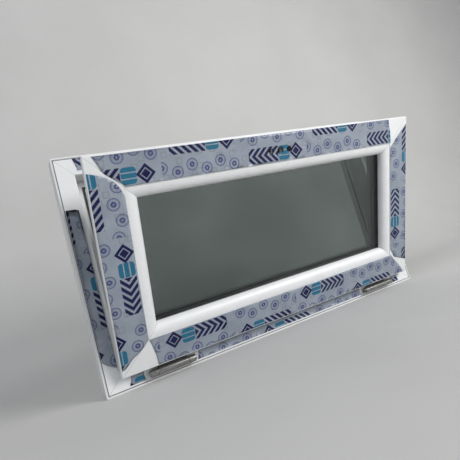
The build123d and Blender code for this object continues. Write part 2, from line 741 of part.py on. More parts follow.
def corner_cut(side, inset, outer, inner, start, end):
    """Outline of a strip of film along a side: start and end are how far its ends stay from the mitres."""
    left, right = inset - frame_width / 2, frame_width / 2 - inset
    low, high = inset, frame_height - inset
    if side == "top":
        return [(left + outer + start, high - outer), (right - outer - end, high - outer),
                (right - inner - end, high - inner), (left + inner + start, high - inner)]
    if side == "bottom":
        return [(left + outer + start, low + outer), (right - outer - end, low + outer),
                (right - inner - end, low + inner), (left + inner + start, low + inner)]
    if side == "left":
        return [(left + outer, low + outer + start), (left + outer, high - outer - end),
                (left + inner, high - inner - end), (left + inner, low + inner + start)]
    return [(right - outer, low + outer + start), (right - outer, high - outer - end),
            (right - inner, high - inner - end), (right - inner, low + inner + start)]


film_ends = {"top": (8.0, 10.0), "bottom": (34.0, 6.0), "left": (30.0, 8.0), "right": (6.0, 22.0)}
film_inner = sash_face - film_margin
for side, (start, end) in film_ends.items():
    outline = corner_cut(side, sash_edge, film_margin, film_inner, start, end)
    with BuildPart() as strip:
        add(film(outline, front - sash_proud).part)
        if side == "top":
            handle_hole_cuts(film_hole_clearance, film_thickness)
    save_open(strip.part, f"film_sash_{side}")

frame_film_ends = {"top": ("head", 12.0, 12.0), "left": ("left", 25.0, 100.0), "right": ("right", 25.0, 12.0)}
for side, (name, start, end) in frame_film_ends.items():
    outline = corner_cut(side, 0, frame_film_margin, sash_edge, start, end)
    save(film(outline, front).part, f"film_frame_{name}")
with BuildPart() as film_frame_sill:
    film_end = frame_width / 2 - sill_film_from_edge
    hinge_margin = hinge_length / 2 + film_to_hinge
    ends = (-film_end, -hinge_x - hinge_margin, -hinge_x + hinge_margin, hinge_x - hinge_margin,
            hinge_x + hinge_margin, film_end)
    for low_x, high_x in zip(ends[::2], ends[1::2]):
        block(low_x, high_x, front - film_thickness, front, frame_film_margin, sash_edge)
save(film_frame_sill.part, "film_frame_sill")

# ---- Lock in the top rail -------------------------------------------------------------------------------

case_top = rebate_floor
case_bottom = handle_axis + tooth_module * tooth_count / 2 + case_below_gear
case_front = front + groove_low + rod_clearance
case_back = front + groove_high - rod_clearance
axis_z = sash_top - handle_axis
pitch_radius = tooth_module * tooth_count / 2
rack_line = axis_z + pitch_radius
rod_low = sash_top - rebate_floor - rod_clearance - rod_thickness
rod_high = rod_low + rod_thickness
lock_y = front + hardware_centre

with BuildPart() as lock_faceplate:
    block(-faceplate_length / 2, faceplate_length / 2, front + rebate_low + faceplate_clearance,
          front + rebate_high - faceplate_clearance, sash_top - rebate_floor,
          sash_top - rebate_floor + faceplate_thickness)
    slot = cam_radius + stay_pin_clearance
    for sign in (-1, 1):
        block(sign * cam_offset - slot, sign * cam_offset + rod_travel + slot, lock_y - slot, lock_y + slot,
              sash_top - rebate_floor - 1, sash_top, Mode.SUBTRACT)
    for plane in sash_screw_planes:
        screw_hole(plane, small_screw_length)
save_open(lock_faceplate.part, "lock_faceplate")

with BuildPart() as lock_case:
    block(-case_length / 2, case_length / 2, case_front, case_back, sash_top - case_bottom, sash_top - case_top)
    block(-case_length / 2 + case_wall, case_length / 2 - case_wall, case_front + case_wall, case_back - case_wall,
          sash_top - case_bottom + case_wall, sash_top, Mode.SUBTRACT)
    block(-case_length, case_length, case_front + case_wall, case_back - case_wall,
          rod_low - 3 * tooth_module, sash_top, Mode.SUBTRACT)
    with BuildSketch(Plane((0, case_front - 1, axis_z), x_dir=(1, 0, 0), z_dir=(0, 1, 0))):
        Circle(journal_radius + running_clearance)
        with Locations((-handle_pitch / 2, 0), (handle_pitch / 2, 0)):
            Circle(handle_screw_radius)
    extrude(amount=case_back - case_front + 2, mode=Mode.SUBTRACT)
save_open(lock_case.part, "lock_case")

tooth_half = tooth_module * pi / 4 - tooth_backlash
tooth_slope = tan(radians(tooth_flank)) * tooth_module
root_depth = 1.25 * tooth_module
gear_width = case_back - case_front - 2 * (case_wall + gear_side_clearance)
with BuildPart() as lock_follower:
    with BuildSketch(Plane((0, lock_y - gear_width / 2, axis_z), x_dir=(1, 0, 0), z_dir=(0, 1, 0))):
        Circle(pitch_radius - root_depth)
        with PolarLocations(0, tooth_count, start_angle=90 + 180 / tooth_count):
            Polygon((pitch_radius - root_depth - 0.5, -tooth_half - 1.25 * tooth_slope),
                    (pitch_radius + tooth_module, -tooth_half + tooth_slope),
                    (pitch_radius + tooth_module, tooth_half - tooth_slope),
                    (pitch_radius - root_depth - 0.5, tooth_half + 1.25 * tooth_slope), align=None)
    extrude(amount=gear_width)
    with BuildSketch(Plane((0, case_front + gear_side_clearance, axis_z), x_dir=(1, 0, 0), z_dir=(0, 1, 0))):
        Circle(journal_radius)
    extrude(amount=case_back - case_front - 2 * gear_side_clearance)
    with BuildSketch(Plane((0, case_front, axis_z), x_dir=(1, 0, 0), z_dir=(0, 1, 0))):
        Rectangle(spindle_square, spindle_square)
    extrude(amount=case_back - case_front, mode=Mode.SUBTRACT)
save_open(lock_follower.part, "lock_follower")

pitch = tooth_module * pi
with BuildPart() as drive_rod:
    block(-rod_length / 2, rod_length / 2, lock_y - rod_width / 2, lock_y + rod_width / 2, rod_low, rod_high)
    with BuildSketch(Plane((0, lock_y - gear_width / 2, rack_line), x_dir=(1, 0, 0), z_dir=(0, -1, 0))):
        for tooth in range(-rack_teeth + 1, 2):
            with Locations((tooth * pitch, 0)):
                Polygon((-tooth_half + tooth_slope, -tooth_module), (tooth_half - tooth_slope, -tooth_module),
                        (tooth_half + 1.2 * tooth_slope, rod_low - rack_line + 0.5),
                        (-tooth_half - 1.2 * tooth_slope, rod_low - rack_line + 0.5), align=None)
    extrude(amount=-gear_width)
    for sign in (-1, 1):
        with BuildSketch(Plane.XY.offset(rod_low - 1)):
            with Locations((sign * cam_offset, lock_y)):
                Circle(cam_radius - cam_neck)
        extrude(amount=rod_thickness + 2, mode=Mode.SUBTRACT)
        # the rod is slotted where the faceplate's inner screws pass through it
        screw_slot = screw_radius + stay_pin_clearance
        screw_x = sign * faceplate_screw_offset
        block(screw_x - rod_travel - screw_slot, screw_x + screw_slot, lock_y - screw_slot, lock_y + screw_slot,
              rod_low - 1, rod_high + 1, Mode.SUBTRACT)
save_open(drive_rod.part, "drive_rod")

cam_top = keep_z - cam_to_frame
with BuildPart() as roller_cams:
    foot_radius = cam_radius - cam_neck - cam_foot_clearance
    head_low = cam_top - cam_head_thickness
    for sign in (-1, 1):
        for radius, low_z, high_z in ((foot_radius, rod_low, rod_high), (cam_radius, rod_high, head_low),
                                      (cam_head_radius, head_low, cam_top)):
            with BuildSketch(Plane.XY.offset(low_z)):
                with Locations((sign * cam_offset, lock_y)):
                    Circle(radius)
            extrude(amount=high_z - low_z)
save_open(roller_cams.part, "roller_cams")

with BuildPart() as keeps:
    for sign in (-1, 1):
        start = sign * cam_offset - keep_lead
        lip_front = lock_y - cam_head_radius - keep_lip_gap - keep_lip_thickness
        lip_low = sash_top - sash_step + keep_lip_clearance
        block(start, start + keep_length, front + rebate_low, front + rebate_high, keep_z - keep_thickness, keep_z)
        lip_start = sign * cam_offset + cam_head_radius + keep_lip_start
        block(lip_start, start + keep_length, lip_front, lip_front + keep_lip_thickness, lip_low, keep_z)
    for plane in keep_screw_planes:
        screw_hole(plane, small_screw_length)
save(keeps.part, "keeps")

# ---- Opening stays --------------------------------------------------------------------------------------


def across_x(x0, x1, y, z, radius, mode=Mode.ADD):
    """A cylinder along X from x0 to x1 in the current part."""
    with BuildSketch(Plane((min(x0, x1), y, z), x_dir=(0, 1, 0), z_dir=(1, 0, 0))) as disc:
        Circle(radius)
    extrude(disc.sketch, amount=abs(x1 - x0), mode=mode)


arm_outer = frame_inside_x - stay_plate_thickness - stay_washer
arm_inner = arm_outer - stay_thickness
with BuildPart() as stay_brackets:
    for sign in (-1, 1):
        plate_inner = sign * (frame_inside_x - stay_plate_thickness)
        low_x, high_x = sorted((plate_inner, sign * frame_inside_x))
        block(low_x, high_x, pivot_y - stay_width / 2, pivot_y + stay_width / 2,
              pivot_z - stay_plate_length / 2, pivot_z + stay_plate_length / 2)
        head_outer = arm_inner - rod_clearance
        head_inner = head_outer - stay_pin_head
        across_x(plate_inner, sign * (arm_outer + rod_clearance), pivot_y, pivot_z, pin_radius + stay_pin_collar)
        across_x(plate_inner, sign * head_inner, pivot_y, pivot_z, pin_radius)
        across_x(sign * head_outer, sign * head_inner, pivot_y, pivot_z, pin_radius + stay_pin_head_lap)
    for plane in stay_screw_planes:
        screw_hole(plane, small_screw_length)
save(stay_brackets.part, "stay_brackets")

arm_plane_angle = track_angle - open_angle - stay_lead - open_angle
track_outer = sash_middle_x_to_step - hardware_rebate_depth + track_thickness
for sign, name in ((-1, "left"), (1, "right")):
    with BuildPart() as stay_arm:
        with BuildSketch(Plane((sign * (arm_inner + arm_outer) / 2, pivot_y, pivot_z),
                               x_dir=(0, pin_y - pivot_y, pin_z - pivot_z), z_dir=(1, 0, 0))):
            with Locations((stay_length / 2, 0)):
                SlotCenterToCenter(stay_length, stay_width)
        extrude(amount=stay_thickness / 2, both=True)
        across_x(sign * (arm_outer + 1), sign * (arm_inner - 1), pivot_y, pivot_z, pin_radius + running_clearance,
                 Mode.SUBTRACT)
        across_x(sign * arm_inner, sign * (track_outer - stay_end_pin), pin_y, pin_z, pin_radius)
    save(stay_arm.part, f"stay_arm_{name}")

with BuildPart() as stay_tracks:
    middle = (shut_reach + open_reach) / 2
    track_z = hinge_z + middle * cos(radians(track_angle))
    track_y = front + hardware_centre
    for sign in (-1, 1):
        low_x, high_x = sorted((sign * track_outer, sign * (track_outer - track_thickness)))
        half = hardware_rebate_width / 2 - faceplate_clearance
        block(low_x, high_x, track_y - half, track_y + half,
              track_z - track_length / 2, track_z + track_length / 2)
        with BuildSketch(Plane((low_x - 1, hinge_y, hinge_z),
                               x_dir=(0, sin(radians(track_angle)), cos(radians(track_angle))), z_dir=(1, 0, 0))):
            with Locations((middle, 0)):
                SlotCenterToCenter(shut_reach - open_reach, 2 * (pin_radius + stay_pin_clearance))
        extrude(amount=track_thickness + 2, mode=Mode.SUBTRACT)
save_open(stay_tracks.part, "stay_tracks")

with BuildPart() as sash_screws:
    for plane in sash_screw_planes:
        screw(plane, small_screw_length)
save_open(sash_screws.part, "sash_screws")
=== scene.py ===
"""A small bottom-hung window of white plastic, tilted open into the room, with its printed film still on."""

import json
from math import cos, pi, radians, sin

import bpy
import numpy as np
from mathutils.geometry import delaunay_2d_cdt
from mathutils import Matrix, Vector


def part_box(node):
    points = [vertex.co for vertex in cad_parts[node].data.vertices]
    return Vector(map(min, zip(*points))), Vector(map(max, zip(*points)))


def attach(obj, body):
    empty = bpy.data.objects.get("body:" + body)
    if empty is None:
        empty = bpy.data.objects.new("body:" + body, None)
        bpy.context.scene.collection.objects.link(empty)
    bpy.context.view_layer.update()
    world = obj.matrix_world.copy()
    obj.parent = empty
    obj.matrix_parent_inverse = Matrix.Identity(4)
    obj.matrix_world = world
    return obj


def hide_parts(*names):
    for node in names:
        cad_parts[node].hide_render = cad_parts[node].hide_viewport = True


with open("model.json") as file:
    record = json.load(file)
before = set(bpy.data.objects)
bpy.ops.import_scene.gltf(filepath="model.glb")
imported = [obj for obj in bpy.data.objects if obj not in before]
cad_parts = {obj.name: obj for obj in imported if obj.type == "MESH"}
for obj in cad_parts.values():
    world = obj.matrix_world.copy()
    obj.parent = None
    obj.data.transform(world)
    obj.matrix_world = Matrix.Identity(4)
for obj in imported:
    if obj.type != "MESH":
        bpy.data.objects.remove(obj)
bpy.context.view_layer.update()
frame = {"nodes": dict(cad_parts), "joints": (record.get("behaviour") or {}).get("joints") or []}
nodes = frame["nodes"]

# ---- Frame and sash bars --------------------------------------------------------------------------------
# White extruded window plastic, mitred and welded at the corners. The weld is pared back to a fine
# groove, the skin is smooth with fine dents, and hands and glue leave dull patches.


def wire(tree, kind, inputs=(), **settings):
    """Add a shader node, set its settings, and give its inputs a value or a link from another socket."""
    made = tree.nodes.new(kind)
    for name, value in settings.items():
        setattr(made, name, value)
    for name, value in dict(inputs).items():
        if isinstance(value, bpy.types.NodeSocket):
            tree.links.new(value, made.inputs[name])
        else:
            made.inputs[name].default_value = value
    return made


def maths(tree, operation, first, second=None, third=None):
    """One Math node. Its inputs are numbers or sockets."""
    given = [v for v in (first, second, third) if v is not None]
    return wire(tree, "ShaderNodeMath", enumerate(given), operation=operation).outputs[0]


def blend(tree, factor, low, high):
    """Colour mix of two colours by a factor."""
    made = wire(tree, "ShaderNodeMix", {0: factor, 6: low, 7: high}, data_type="RGBA")
    return made.outputs[2]


def ramp(tree, value, low, high, to_low=0.0, to_high=1.0):
    """Straight ramp of a value from one range to another, held at its ends."""
    made = wire(tree, "ShaderNodeMapRange", {0: value, 1: low, 2: high, 3: to_low, 4: to_high})
    return made.outputs[0]


def surface(name, color, roughness, **sockets):
    """A material with one Principled shader. Returns the material, its tree and the shader."""
    made = bpy.data.materials.new(name)
    made.use_nodes = True
    tree = made.node_tree
    shader = tree.nodes["Principled BSDF"]
    shader.inputs["Base Color"].default_value = (*color, 1)
    shader.inputs["Roughness"].default_value = roughness
    for socket, value in sockets.items():
        shader.inputs[socket.replace("_", " ")].default_value = value
    return made, tree, shader


def group(name, inputs, outputs):
    """An empty node group with named float, vector or colour sockets."""
    kinds = {"f": "NodeSocketFloat", "v": "NodeSocketVector", "c": "NodeSocketColor"}
    made = bpy.data.node_groups.new(name, "ShaderNodeTree")
    for socket, kind in inputs.items():
        made.interface.new_socket(socket, in_out="INPUT", socket_type=kinds[kind])
    for socket, kind in outputs.items():
        made.interface.new_socket(socket, in_out="OUTPUT", socket_type=kinds[kind])
    start = made.nodes.new("NodeGroupInput")
    end = made.nodes.new("NodeGroupOutput")
    return made, start.outputs, end.inputs


def use(tree, made, inputs=()):
    """Place a node group in a material and return its outputs."""
    placed = tree.nodes.new("ShaderNodeGroup")
    placed.node_tree = made
    for name, value in dict(inputs).items():
        if isinstance(value, bpy.types.NodeSocket):
            tree.links.new(value, placed.inputs[name])
        else:
            placed.inputs[name].default_value = value
    return placed.outputs


def noise(tree, vector, scale, detail=3.0, roughness=0.5):
    """Value of a noise texture."""
    made = wire(tree, "ShaderNodeTexNoise", {"Vector": vector, "Scale": scale, "Detail": detail,
                                             "Roughness": roughness})
    return made.outputs[0]


def handling_marks():
    """Group: dull patches, specks of dust and fine dents on a smooth skin, from a place on the object."""
    tree, given, out = group("handling marks", {"Place": "v", "Amount": "f"},
                             {"Dust": "f", "Dull": "f", "Height": "f"})
    patches = ramp(tree, noise(tree, given["Place"], 9.0, 4.0), 0.42, 0.72)
    specks = ramp(tree, noise(tree, given["Place"], 420.0, 2.0), 0.70, 0.80)
    smears = ramp(tree, noise(tree, given["Place"], 38.0, 5.0, 0.6), 0.5, 0.75)
    dust = maths(tree, "MAXIMUM", maths(tree, "MULTIPLY", smears, 0.55), specks)
    tree.links.new(maths(tree, "MULTIPLY", dust, given["Amount"]), out["Dust"])
    tree.links.new(maths(tree, "MULTIPLY", maths(tree, "ADD", patches, smears), given["Amount"]), out["Dull"])
    tree.links.new(noise(tree, given["Place"], 160.0, 2.0), out["Height"])
    return tree


marks = handling_marks()
frame_low, frame_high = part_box("frame_head")
half_width = frame_high.x
frame_height = frame_high.z
front = frame_low.y
tilt_joint = next(joint for joint in frame["joints"] if joint["name"] == "sash_tilt")
hinge_point = tilt_joint["pos_m"]
open_angle = radians(-tilt_joint["range_deg"][0])
sash_edge = half_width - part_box("sash_top_rail")[1].x


def shut_place(tree):
    """Object coordinates turned back to where the sash is when shut, about the hinge line."""
    place = wire(tree, "ShaderNodeTexCoord").outputs["Object"]
    back = wire(tree, "ShaderNodeVectorMath", {0: place, 1: hinge_point}, operation="SUBTRACT").outputs[0]
    turned = wire(tree, "ShaderNodeVectorRotate", {"Vector": back, "Axis": (1, 0, 0), "Angle": -open_angle},
                  rotation_type="AXIS_ANGLE").outputs[0]
    return wire(tree, "ShaderNodeVectorMath", {0: turned, 1: hinge_point}, operation="ADD").outputs[0]


weld_wander = 0.0003
weld_groove = (0.0002, 0.0009)  # from its middle to where it has faded
weld_band = (0.0025, 0.0040)  # the same for the pared strip beside it


def weld_line():
    """Group: how near a point is to the 45 degree joints at a rectangle's corners, centred on X."""
    tree, given, out = group("weld line",
                             {"Place": "v", "Half Width": "f", "Half Height": "f", "Middle": "f"},
                             {"Line": "f", "Band": "f"})
    split = wire(tree, "ShaderNodeSeparateXYZ", {0: given["Place"]}).outputs
    across = maths(tree, "SUBTRACT", given["Half Width"], maths(tree, "ABSOLUTE", split[0]))
    height = maths(tree, "ABSOLUTE", maths(tree, "SUBTRACT", split[2], given["Middle"]))
    down = maths(tree, "SUBTRACT", given["Half Height"], height)
    wander = ramp(tree, noise(tree, given["Place"], 60.0), 0.3, 0.7, -weld_wander, weld_wander)
    apart = maths(tree, "ABSOLUTE", maths(tree, "ADD", maths(tree, "SUBTRACT", across, down), wander))
    tree.links.new(ramp(tree, apart, *weld_groove, 1.0, 0.0), out["Line"])
    tree.links.new(ramp(tree, apart, *weld_band, 1.0, 0.0), out["Band"])
    return tree


weld = weld_line()


white = (0.80, 0.81, 0.82)
soiled_white = (0.66, 0.66, 0.65)
weld_grey = (0.33, 0.33, 0.34)


def white_plastic(name, place_of, half_x, half_z, middle):
    """White plastic for a mitred ring of bars with its weld lines."""
    material, tree, shader = surface(name, white, 0.32, Coat_Weight=0.05, Coat_Roughness=0.2)
    place = place_of(tree)
    worn = use(tree, marks, {"Place": place, "Amount": 0.6})
    joint = use(tree, weld, {"Place": place, "Half Width": half_x, "Half Height": half_z, "Middle": middle})
    skin = blend(tree, worn["Dust"], (*white, 1), (*soiled_white, 1))
    color = blend(tree, maths(tree, "MULTIPLY", joint["Line"], 0.55), skin, (*weld_grey, 1))
    tree.links.new(color, shader.inputs["Base Color"])
    handled = maths(tree, "MULTIPLY", worn["Dull"], 0.16)
    pared = maths(tree, "MULTIPLY", joint["Band"], 0.2)
    dull = maths(tree, "ADD", handled, pared)
    tree.links.new(maths(tree, "ADD", dull, 0.34), shader.inputs["Roughness"])
    height = maths(tree, "SUBTRACT", maths(tree, "MULTIPLY", worn["Height"], 0.25), joint["Line"])
    bump = wire(tree, "ShaderNodeBump", {"Strength": 0.35, "Distance": 0.0004, "Height": height})
    tree.links.new(bump.outputs[0], shader.inputs["Normal"])
    return material


def object_place(tree):
    """Object coordinates, which are the window's own frame."""
    return wire(tree, "ShaderNodeTexCoord").outputs["Object"]


def dress(material, *names):
    """Put a material on CAD nodes."""
    for name in names:
        nodes[name].data.materials.clear()
        nodes[name].data.materials.append(material)


def tint_over(material, mask, color):
    """Lay a colour over a material's own where a mask is one."""
    tree = material.node_tree
    base = tree.nodes["Principled BSDF"].inputs["Base Color"]
    tree.links.new(blend(tree, mask, base.links[0].from_socket, (*color, 1)), base)


hole_reach = 0.0075
hole_depth = 0.026
# Near black for the painted shade inside the handle holes.
hole_shade_color = (0.02, 0.02, 0.021)


def paint_hole_shade(material, centers):
    """Paint shade into the round holes bored through the sash's face, where no light gets in."""
    tree = material.node_tree
    split = wire(tree, "ShaderNodeSeparateXYZ", {0: shut_place(tree)}).outputs
    level = wire(tree, "ShaderNodeCombineXYZ", {0: split[0], 2: split[2]}).outputs[0]
    near = 1.0
    for center_x, center_z in centers:
        away = wire(tree, "ShaderNodeVectorMath", {0: level, 1: (center_x, 0, center_z)},
                    operation="DISTANCE")
        near = maths(tree, "MINIMUM", near, away.outputs["Value"])
    in_front = maths(tree, "LESS_THAN", split[1], sash_front + hole_depth)
    mask = maths(tree, "MULTIPLY", maths(tree, "LESS_THAN", near, hole_reach), in_front)
    tint_over(material, mask, hole_shade_color)


groove_inset = 0.0042
groove_half = (0.0008, 0.0012)  # from its middle to its edge, and to where it has faded
# Near black for the painted shade of the groove round the frame's face.
groove_shade_color = (0.035, 0.035, 0.037)
face_depth = 0.0005


def paint_groove_shade(material, half_x, height):
    """Paint a fine dark line round the frame's face, just inside its outer edge: painted shade of a groove
    that has no shape of its own.
    """
    tree = material.node_tree
    split = wire(tree, "ShaderNodeSeparateXYZ", {0: object_place(tree)}).outputs
    aside = maths(tree, "SUBTRACT", half_x, maths(tree, "ABSOLUTE", split[0]))
    up = maths(tree, "MINIMUM", split[2], maths(tree, "SUBTRACT", height, split[2]))
    off = maths(tree, "ABSOLUTE", maths(tree, "SUBTRACT", maths(tree, "MINIMUM", aside, up), groove_inset))
    at_front = maths(tree, "LESS_THAN", split[1], front + face_depth)
    line = maths(tree, "MULTIPLY", ramp(tree, off, *groove_half, 1.0, 0.0), at_front)
    tint_over(material, line, groove_shade_color)


middle = frame_height / 2
frame_plastic = white_plastic("frame plastic", object_place, half_width, middle, middle)
paint_groove_shade(frame_plastic, half_width, frame_height)
sash_plastic = white_plastic("sash plastic", shut_place, half_width - sash_edge, middle - sash_edge, middle)
sash_front = front - 0.014
handle_step = 0.0215  # from the spindle's hole to each screw's
handle_drop = 0.035  # from the sash's top edge
handle_z = frame_height - sash_edge - handle_drop
paint_hole_shade(sash_plastic, [(-handle_step, handle_z), (0.0, handle_z), (handle_step, handle_z)])
dress(frame_plastic, "frame_head", "frame_sill", "frame_jamb_left", "frame_jamb_right", "drain_caps")
dress(sash_plastic, "sash_top_rail", "sash_bottom_rail", "sash_stile_left", "sash_stile_right")
dress(sash_plastic, "bead_top", "bead_bottom", "bead_left", "bead_right")

# ---- Seals ----------------------------------------------------------------------------------------------
# Extruded rubber, mitred at the corners: matt black where the sash shuts against the frame and outside the
# glass, pressed into grooves in the bars, and a grey lip moulded to the glazing beads.


def rubber(name, color, dusty):
    """Matt rubber with pale dust caught in its grain."""
    material, tree, shader = surface(name, color, 0.6)
    place = object_place(tree)
    worn = use(tree, marks, {"Place": place, "Amount": 1.0})
    tree.links.new(blend(tree, worn["Dust"], (*color, 1), (*dusty, 1)), shader.inputs["Base Color"])
    tree.links.new(ramp(tree, worn["Dull"], 0.0, 1.5, 0.5, 0.85), shader.inputs["Roughness"])
    grain = wire(tree, "ShaderNodeBump", {"Strength": 0.3, "Distance": 0.0002,
                                          "Height": noise(tree, place, 900.0)})
    tree.links.new(grain.outputs[0], shader.inputs["Normal"])
    return material


black_rubber = rubber("black rubber", (0.022, 0.023, 0.024), (0.11, 0.11, 0.105))
grey_rubber = rubber("grey rubber", (0.055, 0.058, 0.06), (0.16, 0.16, 0.155))
dress(black_rubber, "frame_gasket", "sash_gasket", "glazing_gasket_outer", "edge_seal")
dress(grey_rubber, "glazing_gasket_inner")

# ---- Glass unit -----------------------------------------------------------------------------------------
# Two panes of float glass with a green cast, held apart by a folded aluminium bar and sealed together round
# the edge. Their tint is darker than the green cast alone, as painted shade for the space seen through them.
# The unit stands on plastic blocks in the sash, and the beads hold it in.

# The tints are darker than clear glass: partly a real green cast, partly painted shade for the space behind
# the panes.
glass_tints_with_shade = ((0.36, 0.40, 0.387), (0.45, 0.495, 0.48))
glass_dust = (0.34, 0.37, 0.36)


def float_glass():
    """Glass with a green cast, darkened as painted shade for what is seen through it, with wiped smears and
    dust.
    """
    material, tree, shader = surface("float glass", glass_tints_with_shade[1], 0.0, Transmission_Weight=1.0, IOR=1.5)
    place = object_place(tree)
    worn = use(tree, marks, {"Place": place, "Amount": 1.0})
    smears = maths(tree, "MULTIPLY", worn["Dull"], 0.01)
    tree.links.new(smears, shader.inputs["Roughness"])
    cloudy = ramp(tree, noise(tree, place, 5.0, 2.0), 0.35, 0.68)
    clear = blend(tree, cloudy, *((*tint, 1) for tint in glass_tints_with_shade))
    tint = blend(tree, maths(tree, "MULTIPLY", worn["Dust"], 0.25), clear, (*glass_dust, 1))
    tree.links.new(tint, shader.inputs["Base Color"])
    return material


def metal(name, color, roughness, streak, scale=1.0):
    """Metal with a drawn or plated finish: streaks along X change its shine."""
    material, tree, shader = surface(name, color, roughness, Metallic=1.0)
    place = object_place(tree)
    along, across = 12 * scale, 900 * scale
    stretched = wire(tree, "ShaderNodeMapping", {"Vector": place, "Scale": (along, across, across)})
    lines = noise(tree, stretched.outputs[0], 1.0, 4.0)
    worn = use(tree, marks, {"Place": place, "Amount": 1.0})
    handled = maths(tree, "MULTIPLY", worn["Dull"], 0.08)
    shine = maths(tree, "ADD", maths(tree, "MULTIPLY", lines, streak), handled)
    tree.links.new(maths(tree, "ADD", shine, roughness - streak / 2), shader.inputs["Roughness"])
    dark = tuple(0.62 * share for share in color)
    tree.links.new(blend(tree, worn["Dust"], (*color, 1), (*dark, 1)), shader.inputs["Base Color"])
    bump = wire(tree, "ShaderNodeBump", {"Strength": 0.12, "Distance": 0.0002, "Height": lines})
    tree.links.new(bump.outputs[0], shader.inputs["Normal"])
    return material


def moulded(name, color):
    """Moulded engineering plastic with a satin skin."""
    material, tree, shader = surface(name, color, 0.45)
    place = object_place(tree)
    worn = use(tree, marks, {"Place": place, "Amount": 0.8})
    pale = tuple(0.5 + 0.5 * share for share in color)
    tree.links.new(blend(tree, worn["Dust"], (*color, 1), (*pale, 1)), shader.inputs["Base Color"])
    tree.links.new(ramp(tree, worn["Dull"], 0.0, 1.5, 0.35, 0.6), shader.inputs["Roughness"])
    return material


glass = float_glass()
dress(glass, "glass_inner", "glass_outer")
dress(metal("spacer aluminium", (0.17, 0.175, 0.175), 0.42, 0.2), "spacer_bar")
dress(moulded("packer plastic", (0.05, 0.10, 0.28)), "glazing_packers")

# ---- Steel and hardware ---------------------------------------------------------------------------------
# Galvanised steel channels stiffen the hollow bars from inside. The lock's strip, rod and rollers, the keeps
# and the stays are zinc-plated pressings, screwed to the bars, and the lock's case is dark steel, made near
# black as painted shade for what is seen through the handle holes.

dress(metal("galvanised steel", (0.52, 0.54, 0.55), 0.45, 0.25), "frame_steels_long", "frame_steels_short",
      "sash_steels_long", "sash_steels_short")
zinc = metal("zinc plate", (0.66, 0.67, 0.66), 0.32, 0.2)
dress(zinc, "keeps", "stay_brackets", "stay_tracks", "stay_arm_left", "stay_arm_right", "lock_faceplate",
      "drive_rod", "roller_cams")
# The lock case and follower are near black: dark steel, and painted shade inside the handle holes.
dress(metal("lock steel darkened as hole shade", (0.10, 0.10, 0.105), 0.4, 0.2), "lock_case", "lock_follower")
dress(zinc, "keep_screws", "stay_bracket_screws", "hinge_sash_screws", "sash_screws", "hinge_frame_screws")

# ---- Hinges ---------------------------------------------------------------------------------------------
# Two barrel hinges of satin nickel along the bottom, with their leaves screwed to the frame and the sash:
# each has two frame knuckles and one long sash knuckle, which turn on a steel pin in nylon bushes.

nickel = metal("satin nickel", (0.36, 0.36, 0.345), 0.15, 0.1, 0.6)
dress(nickel, "hinge_frame_leaf_left", "hinge_frame_leaf_right", "hinge_pins")
dress(nickel, "hinge_sash_leaf_left", "hinge_sash_leaf_right")
dress(moulded("nylon", (0.72, 0.72, 0.69)), "hinge_bushes")

# ---- Protective film ------------------------------------------------------------------------------------
# Thin pale blue film, printed in navy and teal, that covers the faces until the window is fitted. It is
# slit and pulled back at the corners, where the bars were welded, so the white shows there.

film_gap = 0.00012  # between a face and the film on it
film_thickness = 0.00006
film_grid = 0.006
film_jitter = 0.0012
film_ripple = 0.00008
loose_lift = 0.0003
loose_width = 0.006  # of the border that stands off
hole_tear = 0.08  # of a torn hole's radius


def curve_through(points, steps):
    """Points of a smooth Catmull-Rom curve through the given points, which it starts and ends at."""
    given = np.array([points[0], *points, points[-1]], float)
    t = np.linspace(0, 1, steps, endpoint=False)[:, None]
    pieces = []
    for i in range(len(points) - 1):
        a, b, c, d = given[i:i + 4]
        pieces.append(0.5 * (2 * b + (c - a) * t + (2 * a - 5 * b + 4 * c - d) * t ** 2
                             + (3 * b - a - 3 * c + d) * t ** 3))
    return np.vstack([*pieces, given[-1:]])


def outline(*sides):
    """Closed outline in metres, from the curves of its two ends, each a list of points in millimetres and the
    steps between them. The long edges are straight between the ends."""
    return np.vstack([curve_through(points, steps) for points, steps in sides]) / 1000


def torn_hole(center_x, center_z, radius):
    """Outline of a hole whose radius swells and shrinks by sines of three and of seven times its turn."""
    turn = np.linspace(0, 2 * pi, 28, endpoint=False)
    swell = hole_tear * np.sin(3 * turn + center_x * 90) + 0.5 * hole_tear * np.sin(7 * turn)
    reach = radius * (1 + swell)
    return np.c_[center_x + reach * np.cos(turn), center_z + reach * np.sin(turn)]


def ripple(x, z, seed):
    """Soft uneven height: a sum of a few slanting sine waves."""
    rng = np.random.default_rng(seed)
    total = np.zeros_like(x)
    for _ in range(7):
        turn = rng.uniform(0, 2 * pi)
        length = rng.uniform(0.012, 0.06)
        total += np.sin((x * cos(turn) + z * sin(turn)) * 2 * pi / length + rng.uniform(0, 2 * pi)) * length
    return total / 0.1


def within(points, loop):
    """Which points lie inside a closed loop: an odd number of its edges cross the ray to the right."""
    a, b = loop, np.roll(loop, -1, 0)
    x, z = points[:, :1], points[:, 1:]
    spans = (a[:, 1] > z) != (b[:, 1] > z)
    step = np.where(b[:, 1] == a[:, 1], 1e-12, b[:, 1] - a[:, 1])
    crossing = a[:, 0] + (z - a[:, 1]) * (b[:, 0] - a[:, 0]) / step
    return (np.sum(spans & (x < crossing), 1) % 2) == 1


def edge_distance(points, loop):
    """Distance from each point to the nearest edge of a closed loop."""
    a, along = loop, np.roll(loop, -1, 0) - loop
    length = np.maximum((along ** 2).sum(1), 1e-12)
    t = np.clip(((points[:, None] - a) * along).sum(2) / length, 0, 1)
    nearest = a + t[..., None] * along
    return np.sqrt(((points[:, None] - nearest) ** 2).sum(2)).min(1)


